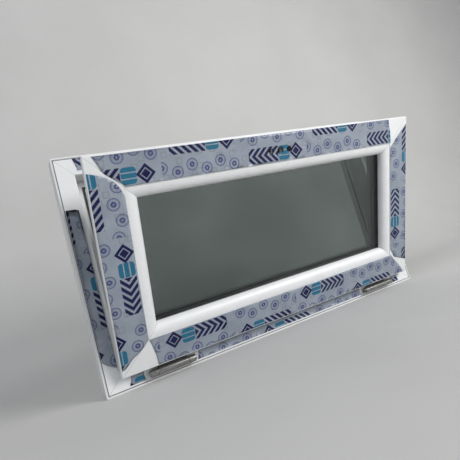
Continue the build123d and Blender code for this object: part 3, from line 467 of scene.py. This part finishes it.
def film_net(outlines, holes, seed):
    """Triangle net in X and Z inside the outlines, less the holes: the points of the outlines and of a
    jittered grid, in a Delaunay triangulation that keeps to the outlines."""
    low, high = np.vstack(outlines).min(0), np.vstack(outlines).max(0)
    columns, rows = (np.arange(low[i], high[i], film_grid) for i in (0, 1))
    grid_x, grid_z = np.meshgrid(columns, rows)
    jitter = np.random.default_rng(seed).uniform(-film_jitter, film_jitter, (grid_x.size, 2))
    points, edges = [], []
    for loop in (*outlines, *holes):
        start, count = len(points), len(loop)
        points += [tuple(p) for p in loop]
        edges += [(start + i, start + (i + 1) % count) for i in range(count)]
    points += [tuple(p) for p in np.c_[grid_x.ravel(), grid_z.ravel()] + jitter]
    flat, _, faces, *_ = delaunay_2d_cdt(points, edges, [], 0, 1e-7)
    flat = np.array([tuple(p) for p in flat])
    faces = np.array(faces)
    middles = flat[faces].mean(1)
    keep = np.any([within(middles, loop) for loop in outlines], 0)
    for loop in holes:
        keep &= ~within(middles, loop)
    used, faces = np.unique(faces[keep], return_inverse=True)
    return flat[used], faces.reshape(-1, 3)


def film_height(flat, outlines, seed):
    """Height off the face: a small gap, soft ripples, and borders that stand off in sine waves. It dies away
    towards the top end, so that a tilted sash's film stays within the sash's own reach."""
    x, z = flat.T
    border = np.min([edge_distance(flat, loop) for loop in outlines], 0)
    height = film_gap + film_ripple * (1 + np.clip(ripple(x, z, seed), -1, 1))
    loose = np.clip(1 - border / loose_width, 0, 1) ** 2
    height = height + loose_lift * loose * (1 + np.sin(x * 260 + z * 310))
    top = np.vstack(outlines)[:, 1].max()
    return np.minimum(height, film_gap + 0.3 * (top - z))


def rolled_end(spots):
    """Roll the top end of a sheet up into a cylinder towards the room. Also returns how far each spot belongs
    to the roll, which is painted near black as shade."""
    roll_length, radius, fade = 0.016, 0.0045, 0.003
    past = spots[:, 2] - (spots[:, 2].max() - roll_length)
    run = np.clip(past, 0, None)
    turn = run / radius
    z = spots[:, 2] - run + radius * np.sin(turn)
    y = spots[:, 1] + radius * (1 - np.cos(turn))
    return np.c_[spots[:, 0], y, z], np.clip((past + 0.001) / fade, 0, 1)


def film_sheet(name, outlines, reading, place, body, holes=(), rolled=False, seed=1):
    """One sheet of film. reading turns X and Z into the print's own length and width, and place puts the
    sheet, worked out as X, height and Z on its face, in the window."""
    flat, faces = film_net(outlines, holes, seed)
    spots = np.c_[flat[:, 0], film_height(flat, outlines, seed), flat[:, 1]]
    roll_shade_mask = np.zeros(len(flat))
    if rolled:
        spots, roll_shade_mask = rolled_end(spots)
    mesh = bpy.data.meshes.new(name)
    mesh.from_pydata(place(spots), [], faces)
    corners = np.zeros(len(mesh.loops), int)
    mesh.loops.foreach_get("vertex_index", corners)
    in_print = np.c_[reading(flat[:, 0], flat[:, 1])][corners]
    mesh.uv_layers.new(name="print").data.foreach_set("uv", in_print.astype(np.float32).ravel())
    # Marks the rolled end, which the film's material paints near black as shade.
    back = mesh.attributes.new("roll painted shade", "FLOAT", "POINT")
    back.data.foreach_set("value", roll_shade_mask.astype(np.float32))
    mesh.shade_smooth()
    made = bpy.data.objects.new(name, mesh)
    bpy.context.scene.collection.objects.link(made)
    thickness = made.modifiers.new("thickness", "SOLIDIFY")
    thickness.thickness = film_thickness
    thickness.offset = 1
    made.data.materials.append(film_print)
    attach(made, body)
    return made


def print_pattern():
    """Group: the film's print, from a place in millimetres along the roll and across it. A diamond, a block
    and a bar of chevrons repeat along the roll, each row half a repeat further on, with ringed signs between
    them and faint squares all over."""
    tree, given, out = group("film print", {"Place": "v"},
                             {"Navy": "f", "Teal": "f", "Sign": "f", "Faint": "f"})

    def calc(operation, first, second=None):
        """One Math node of this group."""
        return maths(tree, operation, first, second)

    def vector(operation, first, second=None):
        """One Vector Math node of this group."""
        given_inputs = {0: first} if second is None else {0: first, 1: second}
        return wire(tree, "ShaderNodeVectorMath", given_inputs, operation=operation).outputs

    def block(middle_x, half_x, half_y, corner):
        """Mask of a rounded rectangle on the row's middle."""
        aside = vector("ABSOLUTE", vector("SUBTRACT", here, (middle_x, 0, 0))[0])[0]
        past = vector("SUBTRACT", aside, (half_x - corner, half_y - corner, 0))[0]
        reach = vector("LENGTH", vector("MAXIMUM", past, (0, 0, 0))[0])["Value"]
        return ramp(tree, reach, corner - 0.15, corner + 0.15, 1.0, 0.0)

    def ring(distance, radius, half_line):
        """Mask of a line at a set distance."""
        off = calc("ABSOLUTE", calc("SUBTRACT", distance, radius))
        return ramp(tree, off, half_line - 0.12, half_line + 0.12, 1.0, 0.0)

    def without(mask, cut):
        """A mask with another cut out of it."""
        return calc("MULTIPLY", mask, calc("SUBTRACT", 1.0, cut))

    repeat, row_width = 311.0, 38.0
    split = wire(tree, "ShaderNodeSeparateXYZ", {0: given["Place"]}).outputs
    row = calc("FLOOR", calc("DIVIDE", split[1], row_width))
    across = calc("SUBTRACT", calc("SUBTRACT", split[1], calc("MULTIPLY", row, row_width)), row_width / 2)
    along = calc("FLOORED_MODULO", calc("ADD", split[0], calc("MULTIPLY", row, repeat / 2)), repeat)
    here = wire(tree, "ShaderNodeCombineXYZ", {0: along, 1: across}).outputs[0]

    gem_middle, gem_reach, gem_line = 17.0, 17.1, 9.5
    lean = calc("ABSOLUTE", across)
    diamond = calc("ADD", calc("ABSOLUTE", calc("SUBTRACT", along, gem_middle)), lean)
    solid = ramp(tree, diamond, gem_reach - 0.2, gem_reach + 0.2, 1.0, 0.0)
    gem = without(solid, ring(diamond, gem_line, 1.0))
    chevron_pitch, chevron_gap = 13.5, 0.40
    chevron = calc("FRACT", calc("DIVIDE", calc("ADD", along, lean), chevron_pitch))
    bar = block(94.0, 34.0, 14.5, 0.4)
    chevrons = calc("MULTIPLY", ramp(tree, chevron, chevron_gap, chevron_gap + 0.03), bar)
    tree.links.new(calc("MAXIMUM", gem, chevrons), out["Navy"])
    tree.links.new(without(block(46.0, 13.0, 14.0, 6.0), ring(lean, 5.0, 1.0)), out["Teal"])

    sign_start, sign_end, sign_pitch, sign_step = 146.0, 300.0, 28.0, 10.0
    cell = calc("DIVIDE", calc("SUBTRACT", along, sign_start), sign_pitch)
    number = calc("FLOOR", cell)
    side_x = calc("MULTIPLY", calc("SUBTRACT", calc("FRACT", cell), 0.5), sign_pitch)
    zigzag = calc("MULTIPLY", calc("PINGPONG", number, 1.0), sign_step)
    side_y = calc("ADD", calc("SUBTRACT", across, 6.5), zigzag)
    far = calc("SQRT", calc("ADD", calc("MULTIPLY", side_x, side_x), calc("MULTIPLY", side_y, side_y)))
    rings = calc("MAXIMUM", ring(far, 10.2, 0.6), ring(far, 8.3, 0.3))
    slant = calc("MULTIPLY", side_y, calc("SUBTRACT", number, 2.0))
    wave = calc("ABSOLUTE", calc("SINE", calc("MULTIPLY", calc("ADD", side_x, slant), 0.8)))
    stripes = calc("MULTIPLY", ramp(tree, wave, 0.5, 0.6), 0.7)
    core = ramp(tree, calc("ABSOLUTE", calc("SUBTRACT", far, 3.2)), 0.9, 1.2, 1.0, 0.0)
    glyph = calc("MAXIMUM", calc("MULTIPLY", ramp(tree, far, 5.6, 6.0, 1.0, 0.0), stripes), core)
    between = calc("MULTIPLY", calc("GREATER_THAN", along, sign_start), calc("LESS_THAN", along, sign_end))
    tree.links.new(calc("MULTIPLY", calc("MAXIMUM", rings, glyph), between), out["Sign"])

    square_pitch, square_share = 13.0, 0.72
    tile = vector("DIVIDE", given["Place"], (square_pitch,) * 3)[0]
    chance = wire(tree, "ShaderNodeTexWhiteNoise", {0: vector("FLOOR", tile)[0]}).outputs["Value"]
    inside = wire(tree, "ShaderNodeSeparateXYZ", {0: vector("FRACTION", tile)[0]}).outputs
    edge = calc("MAXIMUM", *(calc("ABSOLUTE", calc("SUBTRACT", inside[i], 0.5)) for i in (0, 1)))
    square = ramp(tree, calc("ABSOLUTE", calc("SUBTRACT", edge, 0.36)), 0.05, 0.08, 1.0, 0.0)
    tree.links.new(calc("MULTIPLY", square, calc("GREATER_THAN", chance, square_share)), out["Faint"])
    return tree


film_base = (0.31, 0.35, 0.41)
film_milky = ((0.25, 0.29, 0.345), (0.32, 0.36, 0.42))
ink_grey = (0.23, 0.24, 0.26)
ink_sign = (0.04, 0.05, 0.17)
ink_teal = (0.016, 0.14, 0.235)
ink_navy = (0.004, 0.005, 0.06)
# Near black laid over the rolled end of the jamb's film: painted shade under and inside the roll.
roll_shade_color = (0.008, 0.009, 0.02)


def printed_film():
    """Pale blue film with the print under its glossy skin."""
    material, tree, shader = surface("printed film", film_base, 0.36, Coat_Weight=0.06,
                                     Coat_Roughness=0.2, Specular_IOR_Level=0.32)
    flat = wire(tree, "ShaderNodeUVMap", uv_map="print").outputs[0]
    in_mm = wire(tree, "ShaderNodeVectorMath", {0: flat, "Scale": 1000.0}, operation="SCALE").outputs[0]
    shapes = use(tree, print_pattern(), {"Place": in_mm})
    place = object_place(tree)
    worn = use(tree, marks, {"Place": place, "Amount": 0.5})
    milky = ramp(tree, noise(tree, place, 22.0, 4.0), 0.35, 0.7)
    color = blend(tree, milky, *((*tint, 1) for tint in film_milky))
    # The rolled end is painted near black: painted shade under the roll.
    back = wire(tree, "ShaderNodeAttribute", attribute_name="roll painted shade").outputs["Fac"]
    faint = maths(tree, "MULTIPLY", shapes["Faint"], 0.75)
    layers = ((faint, ink_grey), (shapes["Sign"], ink_sign), (shapes["Teal"], ink_teal),
              (shapes["Navy"], ink_navy), (back, roll_shade_color))
    for mask, ink in layers:
        color = blend(tree, mask, color, (*ink, 1))
    tree.links.new(color, shader.inputs["Base Color"])
    tree.links.new(ramp(tree, worn["Dull"], 0.0, 1.2, 0.26, 0.46), shader.inputs["Roughness"])
    creases = maths(tree, "ADD", noise(tree, place, 55.0, 4.0), maths(tree, "MULTIPLY", worn["Height"], 0.2))
    bump = wire(tree, "ShaderNodeBump", {"Strength": 0.35, "Distance": 0.0008, "Height": creases})
    tree.links.new(bump.outputs[0], shader.inputs["Normal"])
    return material


film_print = printed_film()
sash_width = 2 * (half_width - sash_edge)
sash_height = frame_height - 2 * sash_edge


def on_sash(spots):
    """Puts a sheet on the sash's face. X and Z run from the sash's lower left corner. Y is the height."""
    x = spots[:, 0] - sash_width / 2
    y = sash_front - spots[:, 1] - hinge_point[1]
    z = spots[:, 2] + sash_edge - hinge_point[2]
    return np.c_[x, hinge_point[1] + y * cos(open_angle) - z * sin(open_angle),
                 hinge_point[2] + z * cos(open_angle) + y * sin(open_angle)]


def on_frame(spots):
    """Puts a sheet on the frame's face. X and Z run from the frame's lower left corner. Y is the height."""
    return np.c_[spots[:, 0] - half_width, front - spots[:, 1], spots[:, 2]]


# The outlines below are in millimetres from the lower left corner, as the ends were cut by hand.
edge_gap = 2.6
to_bead = 56.6
width_mm = sash_width * 1000
height_mm = sash_height * 1000
film_top_edge = height_mm - edge_gap
film_right_edge = width_mm - edge_gap
above_bead = height_mm - to_bead
beside_bead = width_mm - to_bead

left_end = [(15, film_top_edge), (22, 374), (29, 360), (42, 349), (54, 340), (60, above_bead)]
right_end = [(684, above_bead), (683, 357), (680, 370), (677.5, film_top_edge)]
film_holes = [torn_hole(sash_width / 2 + side * handle_step, sash_height - handle_drop, radius)
              for side, radius in ((-1, 0.0055), (0, 0.0065), (1, 0.0055))]
film = film_sheet("film_top", [outline((left_end, 6), (right_end, 5))],
                  lambda x, z: (sash_width - x - 0.004, sash_height - z - 0.021), on_sash, "sash",
                  holes=film_holes, seed=3)
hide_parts("film_sash_top")

top_end = [(to_bead, 318), (51, 333), (41, 346), (27, 355), (14, 359.5), (edge_gap, 362.5)]
low_end = [(edge_gap, 15), (11, 19), (24, 30.5), (42, 42.5), (to_bead, 57.5)]
film = film_sheet("film_left", [outline((top_end, 6), (low_end, 6))],
                  lambda x, z: (sash_height - z - 0.149, x - 0.021), on_sash, "sash", seed=4)
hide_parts("film_sash_left")

left_end = [(58, to_bead), (62, 42), (66, 24), (67.7, edge_gap)]
right_end = [(731, edge_gap), (713, 26), (698, 42), (689, to_bead - 4), (686, to_bead)]
film = film_sheet("film_bottom", [outline((left_end, 5), (right_end, 5))],
                  lambda x, z: (x - 0.086, z - 0.021), on_sash, "sash", seed=5)
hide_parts("film_sash_bottom")

low_end = [(beside_bead, 72), (690, 63), (696, 52), (707, 46), (724, 40), (film_right_edge, 35)]
top_end = [(film_right_edge, 374), (720, 358.7), (700, 340), (688, 328), (beside_bead, 323)]
film = film_sheet("film_right", [outline((low_end, 5), (top_end, 5))],
                  lambda x, z: (z - 0.095, sash_width - x - 0.021), on_sash, "sash", seed=6)
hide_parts("film_sash_right")

# On the frame the film stops just short of the shut sash's edge. The top end of the left jamb's film has
# sprung off and rolled up, and the roll is painted near black as shade.
outer_gap = 5.5
inner_edge = sash_edge * 1000 - 0.6
full_width = 2000 * half_width
full_height = 1000 * frame_height
far_outer = full_width - outer_gap
far_inner = full_width - inner_edge
top_outer = full_height - outer_gap
top_inner = full_height - inner_edge

low_end = [(outer_gap, 64), (15, 55), (29, 46.5), (inner_edge, 41)]
top_end = [(28.6, 356.5), (22, 358), (14, 357), (outer_gap, 353)]
film = film_sheet("film_jamb_left", [outline((low_end, 5), (top_end, 5))],
                  lambda x, z: (frame_height - z - 0.0455, x + 0.023), on_frame, "frame",
                  rolled=True, seed=7)
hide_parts("film_frame_left")

low_end = [(far_inner, 40), (full_width - 20, 47), (far_outer, 58)]
top_end = [(far_outer, full_height - 26), (full_width - 20, full_height - 40), (far_inner, full_height - 52)]
film = film_sheet("film_jamb_right", [outline((low_end, 5), (top_end, 5))],
                  lambda x, z: (z - 0.12, 2 * half_width - x + 0.012), on_frame, "frame", seed=8)
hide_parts("film_frame_right")

left_end = [(39, top_outer), (43, 430), (44, top_inner)]
right_end = [(full_width - 44, top_inner), (full_width - 40, 430), (full_width - 34, top_outer)]
film = film_sheet("film_head", [outline((left_end, 5), (right_end, 5))],
                  lambda x, z: (2 * half_width - x - 0.06, frame_height - z + 0.012), on_frame, "frame",
                  seed=9)
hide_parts("film_frame_head")

# On the sill the film is in three pieces, cut clear of the hinges.
sill_low, sill_middle, sill_high = 8.5, 18, 29
leaf_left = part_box("hinge_frame_leaf_left")
leaf_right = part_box("hinge_frame_leaf_right")
leaf_edges = [1000 * (corner.x + half_width) for corner in (*leaf_left, *leaf_right)]
sill_runs = [(43, leaf_edges[0] - 9), (leaf_edges[1] + 7, leaf_edges[2] - 9),
             (leaf_edges[3] + 8, full_width - 46)]
sill_pieces = []
for start, end in sill_runs:
    left_end = [(start, sill_low), (start + 3, 15), (start + 5, 22), (start + 6, sill_high)]
    right_end = [(end + 1, sill_high), (end, sill_middle), (end + 1, sill_low)]
    sill_pieces.append(outline((left_end, 4), (right_end, 4)))
film = film_sheet("film_sill", sill_pieces, lambda x, z: (x - 0.02, z + 0.014), on_frame, "frame", seed=10)
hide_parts("film_frame_sill")

# ---- Studio ---------------------------------------------------------------------------------------------
# A pale floor that curves up into a plain wall behind the window. The wall is only there from the front,
# so that the back of the window can be seen too. The lights are large and soft.


paper = (0.60, 0.595, 0.585)
paper_mottle = ((0.58, 0.575, 0.565), (0.62, 0.615, 0.605))
air_color = (0.80, 0.84, 0.90)
air_strength = 0.30
lit_point = (0, 0, 0.2)


def seamless_floor():
    """Sheet whose profile in Y and Z is a floor, a quarter circle and a wall, carried along X."""
    wall_y, bend, height, reach = 0.75, 0.5, 5.0, 9.0
    turn = np.linspace(0, pi / 2, 25)
    curve = np.c_[wall_y - bend + bend * np.sin(turn), bend - bend * np.cos(turn)]
    profile = np.vstack([[(-reach, 0)], curve, [(wall_y, height)]])
    spots = np.array([(x, y, z) for y, z in profile for x in (-reach, reach)])
    rows = np.arange(len(profile) - 1)[:, None] * 2
    faces = rows + np.array([[0, 1, 3, 2]])
    mesh = bpy.data.meshes.new("studio")
    mesh.from_pydata(spots, [], faces)
    mesh.shade_smooth()
    made = bpy.data.objects.new("studio", mesh)
    bpy.context.scene.collection.objects.link(made)
    material, tree, shader = surface("studio paper", paper, 0.85)
    place = object_place(tree)
    mottle = ramp(tree, noise(tree, place, 3.0), 0.3, 0.7)
    color = blend(tree, mottle, *((*tint, 1) for tint in paper_mottle))
    tree.links.new(color, shader.inputs["Base Color"])
    behind = wire(tree, "ShaderNodeNewGeometry").outputs["Backfacing"]
    clear = tree.nodes.new("ShaderNodeBsdfTransparent")
    chosen = wire(tree, "ShaderNodeMixShader", {0: behind, 1: shader.outputs[0], 2: clear.outputs[0]})
    tree.links.new(chosen.outputs[0], tree.nodes["Material Output"].inputs[0])
    mesh.materials.append(material)


def soft_light(name, place, size, watts, color=(1, 1, 1)):
    """A square area light aimed at the lit point."""
    lamp = bpy.data.lights.new(name, "AREA")
    lamp.size = size
    lamp.energy = watts
    lamp.color = color
    made = bpy.data.objects.new(name, lamp)
    made.location = place
    toward = np.array(lit_point, float) - np.array(place, float)
    yaw = np.arctan2(toward[0], toward[1])
    pitch = np.arctan2(toward[2], np.hypot(toward[0], toward[1]))
    made.rotation_euler = (pi / 2 + pitch, 0, -yaw)
    bpy.context.scene.collection.objects.link(made)


seamless_floor()
soft_light("key", (1.3, -2.1, 1.15), size=1.2, watts=53, color=(1.0, 0.99, 0.975))
soft_light("fill", (-1.4, -1.6, 2.4), size=1.6, watts=22, color=(0.96, 0.98, 1.0))
soft_light("back", (0.5, 2.6, 2.2), size=1.6, watts=26)
world = bpy.data.worlds.new("studio air")
bpy.context.scene.world = world
world.use_nodes = True
background = world.node_tree.nodes["Background"]
background.inputs["Color"].default_value = (*air_color, 1)
background.inputs["Strength"].default_value = air_strength

camera_data = bpy.data.cameras.new("camera")
camera_data.sensor_width = 36.0
camera_data.lens = 31.05
camera_data.shift_y = -0.0215
camera = bpy.data.objects.new("camera", camera_data)
camera.location = (-0.4634, front - 0.7721, 0.1731)
camera.rotation_euler = (radians(96.06), radians(15.87), radians(-25.32))
bpy.context.scene.collection.objects.link(camera)
bpy.context.scene.camera = camera
bpy.context.scene.view_settings.view_transform = "Standard"
